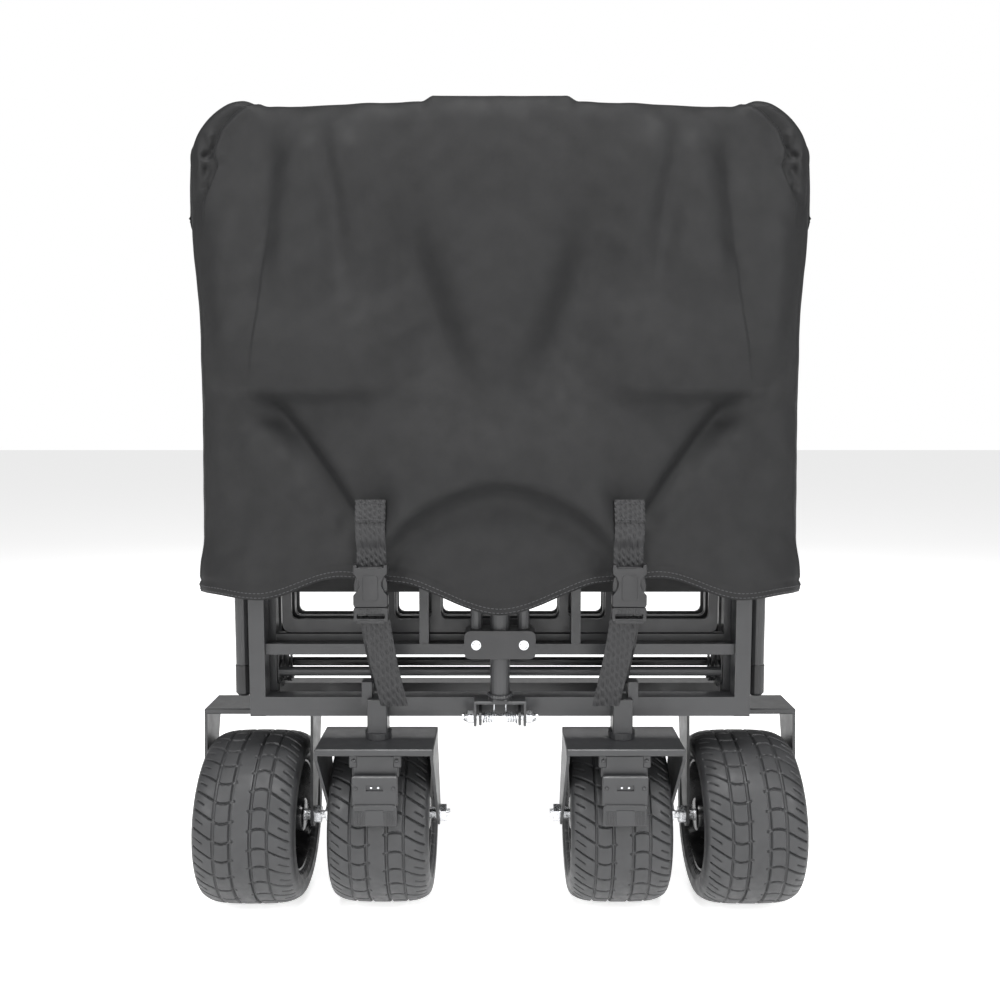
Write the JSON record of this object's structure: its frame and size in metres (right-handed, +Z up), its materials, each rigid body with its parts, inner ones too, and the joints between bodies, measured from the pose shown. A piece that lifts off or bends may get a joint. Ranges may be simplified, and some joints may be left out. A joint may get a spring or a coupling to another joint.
{
  "type": "folding camp wagon",
  "caption": "Folding camp wagon, folded upright under its fabric storage cover, with wide wheels, braked casters and a pull handle.",
  "frame": {"origin": "centre of the bounding box at floor level, folded and standing on its wheels", "axes": "+Z up, -Y towards the handle end, +X to the right seen from the handle end"},
  "size_m": [0.6514, 0.2032, 0.828],
  "materials": {
    "painted_steel": "satin dark grey powder coat",
    "zinc": "bright zinc plate",
    "black_plastic": "moulded black plastic",
    "rim_plastic": "glossy black",
    "tyre_rubber": "moulded dark grey tread",
    "fabric": "woven dark grey polyester",
    "webbing": "black woven webbing"
  },
  "bodies": {
    "front_frame": {"front_frame": "painted_steel", "handle_pivot_bolt": "zinc", "handle_spring": "zinc", "tub_fabric": "fabric", "buckle_plug_left": "black_plastic", "buckle_plug_right": "black_plastic", "strap_tail_left": "webbing", "strap_tail_right": "webbing"},
    "inner_struts_front": {"inner_strut_front_left": "painted_steel", "inner_strut_front_right": "painted_steel"},
    "inner_struts_rear": {"inner_strut_rear_left": "painted_steel", "inner_strut_rear_right": "painted_steel"},
    "rear_frame": {"rear_frame": "painted_steel", "rear_wheel_bracket_left": "painted_steel", "rear_wheel_bracket_right": "painted_steel", "rear_axle_left": "zinc", "rear_axle_right": "zinc"},
    "outer_struts_front": {"outer_struts_front": "painted_steel", "strut_foot_front_left": "black_plastic", "strut_foot_front_right": "black_plastic"},
    "posts_front": {"telescoping_post_front_left": "painted_steel", "telescoping_post_front_right": "painted_steel"},
    "floor_front": {"floor_tube_front": "painted_steel", "floor_panel_front": "black_plastic"},
    "flap_front": {"floor_flap_front": "black_plastic"},
    "outer_struts_rear": {"outer_struts_rear": "painted_steel", "strut_foot_rear_left": "black_plastic", "strut_foot_rear_right": "black_plastic"},
    "posts_rear": {"telescoping_post_rear_left": "painted_steel", "telescoping_post_rear_right": "painted_steel"},
    "floor_rear": {"floor_tube_rear": "painted_steel", "floor_panel_rear": "black_plastic"},
    "flap_rear": {"floor_flap_rear": "black_plastic"},
    "caster_left": {"caster_fork_left": "painted_steel", "caster_axle_left": "zinc", "brake_housing_left": "painted_steel"},
    "caster_wheel_left": {"caster_tyre_left": "tyre_rubber", "caster_rim_left": "rim_plastic"},
    "brake_left": {"brake_pedal_left": "painted_steel"},
    "rear_wheel_left": {"rear_tyre_left": "tyre_rubber", "rear_rim_left": "rim_plastic"},
    "caster_right": {"caster_fork_right": "painted_steel", "caster_axle_right": "zinc", "brake_housing_right": "painted_steel"},
    "caster_wheel_right": {"caster_tyre_right": "tyre_rubber", "caster_rim_right": "rim_plastic"},
    "brake_right": {"brake_pedal_right": "painted_steel"},
    "rear_wheel_right": {"rear_tyre_right": "tyre_rubber", "rear_rim_right": "rim_plastic"},
    "handle": {"handle_tube": "painted_steel", "handle_guide": "black_plastic"},
    "handle_slider": {"handle_clamp": "black_plastic", "handle_rods": "painted_steel", "handle_grip": "black_plastic"},
    "grip_button": {"grip_button": "painted_steel"},
    "cover": {"cover": "fabric", "cover_strap_left": "webbing", "cover_strap_right": "webbing", "buckle_socket_left": "black_plastic", "buckle_socket_right": "black_plastic"}
  },
  "joints": [
    {"name": "fold", "type": "hinge", "parent": "front_frame", "child": "inner_struts_front", "pos_m": [0, -0.00435, 0.244], "axis": [-1, 0, 0], "range_deg": [0, 52.9], "deforming": ["cover", "tub_fabric"]},
    {"name": "top_hinge", "type": "hinge", "parent": "inner_struts_front", "child": "inner_struts_rear", "pos_m": [0, 0.00765, 0.8], "axis": [1, 0, 0], "range_deg": [0, 105.8]},
    {"name": "rear_frame_hinge", "type": "hinge", "parent": "inner_struts_rear", "child": "rear_frame", "pos_m": [0, 0.01965, 0.244], "axis": [-1, 0, 0], "range_deg": [0, 52.9]},
    {"name": "scissor_front", "type": "hinge", "parent": "inner_struts_front", "child": "outer_struts_front", "pos_m": [0, 0.00165, 0.522], "axis": [1, 0, 0], "range_deg": [0, 105.8]},
    {"name": "post_hinge_front", "type": "hinge", "parent": "outer_struts_front", "child": "posts_front", "pos_m": [0, -0.00435, 0.8], "axis": [-1, 0, 0], "range_deg": [0, 52.9]},
    {"name": "floor_hinge_front", "type": "hinge", "parent": "front_frame", "child": "floor_front", "pos_m": [0, -0.00435, 0.244], "axis": [-1, 0, 0], "range_deg": [0, 90.1]},
    {"name": "flap_hinge_front", "type": "hinge", "parent": "outer_struts_front", "child": "flap_front", "pos_m": [0, 0.00765, 0.244], "axis": [1, 0, 0], "range_deg": [0, 37.2]},
    {"name": "scissor_rear", "type": "hinge", "parent": "inner_struts_rear", "child": "outer_struts_rear", "pos_m": [0, 0.01365, 0.522], "axis": [-1, 0, 0], "range_deg": [0, 105.8]},
    {"name": "post_hinge_rear", "type": "hinge", "parent": "outer_struts_rear", "child": "posts_rear", "pos_m": [0, 0.01965, 0.8], "axis": [1, 0, 0], "range_deg": [0, 52.9]},
    {"name": "floor_hinge_rear", "type": "hinge", "parent": "rear_frame", "child": "floor_rear", "pos_m": [0, 0.01965, 0.244], "axis": [1, 0, 0], "range_deg": [0, 90.1]},
    {"name": "flap_hinge_rear", "type": "hinge", "parent": "outer_struts_rear", "child": "flap_rear", "pos_m": [0, 0.00765, 0.244], "axis": [-1, 0, 0], "range_deg": [0, 37.2]},
    {"name": "swivel_left", "type": "hinge", "parent": "front_frame", "child": "caster_left", "pos_m": [-0.124, -0.04935, 0.196], "axis": [0, 0, -1], "range_deg": [0, 180]},
    {"name": "caster_spin_left", "type": "hinge", "parent": "caster_left", "child": "caster_wheel_left", "pos_m": [-0.124, 0.01165, 0.09], "axis": [1, 0, 0], "continuous": true},
    {"name": "brake_pedal_left", "type": "hinge", "parent": "caster_left", "child": "brake_left", "pos_m": [-0.124, -0.08135, 0.165], "axis": [1, 0, 0], "range_deg": [-30, 0]},
    {"name": "rear_spin_left", "type": "hinge", "parent": "rear_frame", "child": "rear_wheel_left", "pos_m": [-0.26, 0.00765, 0.09], "axis": [1, 0, 0], "continuous": true},
    {"name": "swivel_right", "type": "hinge", "parent": "front_frame", "child": "caster_right", "pos_m": [0.124, -0.04935, 0.196], "axis": [0, 0, 1], "range_deg": [0, 180]},
    {"name": "caster_spin_right", "type": "hinge", "parent": "caster_right", "child": "caster_wheel_right", "pos_m": [0.124, 0.01165, 0.09], "axis": [1, 0, 0], "continuous": true},
    {"name": "brake_pedal_right", "type": "hinge", "parent": "caster_right", "child": "brake_right", "pos_m": [0.124, -0.08135, 0.165], "axis": [1, 0, 0], "range_deg": [-30, 0]},
    {"name": "rear_spin_right", "type": "hinge", "parent": "rear_frame", "child": "rear_wheel_right", "pos_m": [0.26, 0.00765, 0.09], "axis": [1, 0, 0], "continuous": true},
    {"name": "handle_tilt", "type": "hinge", "parent": "front_frame", "child": "handle", "pos_m": [0, -0.05935, 0.22], "axis": [1, 0, 0], "range_deg": [0, 60]},
    {"name": "handle_extend", "type": "slide", "parent": "handle", "child": "handle_slider", "axis": [0, 0, 1], "range_m": [0, 0.3]},
    {"name": "grip_button_press", "type": "slide", "parent": "handle_slider", "child": "grip_button", "axis": [0, 1, 0], "range_m": [0, 0.0013], "stiffness_N_per_m": 300, "springref_m": -0.001},
    {"name": "cover_lift", "type": "slide", "parent": "front_frame", "child": "cover", "axis": [0, 0, 1], "range_m": [0, 0.72]}
  ],
  "couplings": [
    {"joint": "top_hinge", "follows": "fold", "ratio": 2},
    {"joint": "rear_frame_hinge", "follows": "fold", "ratio": 1},
    {"joint": "scissor_front", "follows": "fold", "ratio": 2},
    {"joint": "post_hinge_front", "follows": "fold", "ratio": 1},
    {"joint": "floor_hinge_front", "follows": "fold", "ratio": 1.7013},
    {"joint": "flap_hinge_front", "follows": "fold", "ratio": 0.70132},
    {"joint": "scissor_rear", "follows": "fold", "ratio": 2},
    {"joint": "post_hinge_rear", "follows": "fold", "ratio": 1},
    {"joint": "floor_hinge_rear", "follows": "fold", "ratio": 1.7013},
    {"joint": "flap_hinge_rear", "follows": "fold", "ratio": 0.70132},
    {"joint": "handle_tilt", "follows": "fold", "ratio": 1.1342},
    {"joint": "handle_extend", "follows": "fold", "m_per_rad": 0.32493},
    {"joint": "cover_lift", "follows": "fold", "m_per_rad": 0.77983}
  ]
}
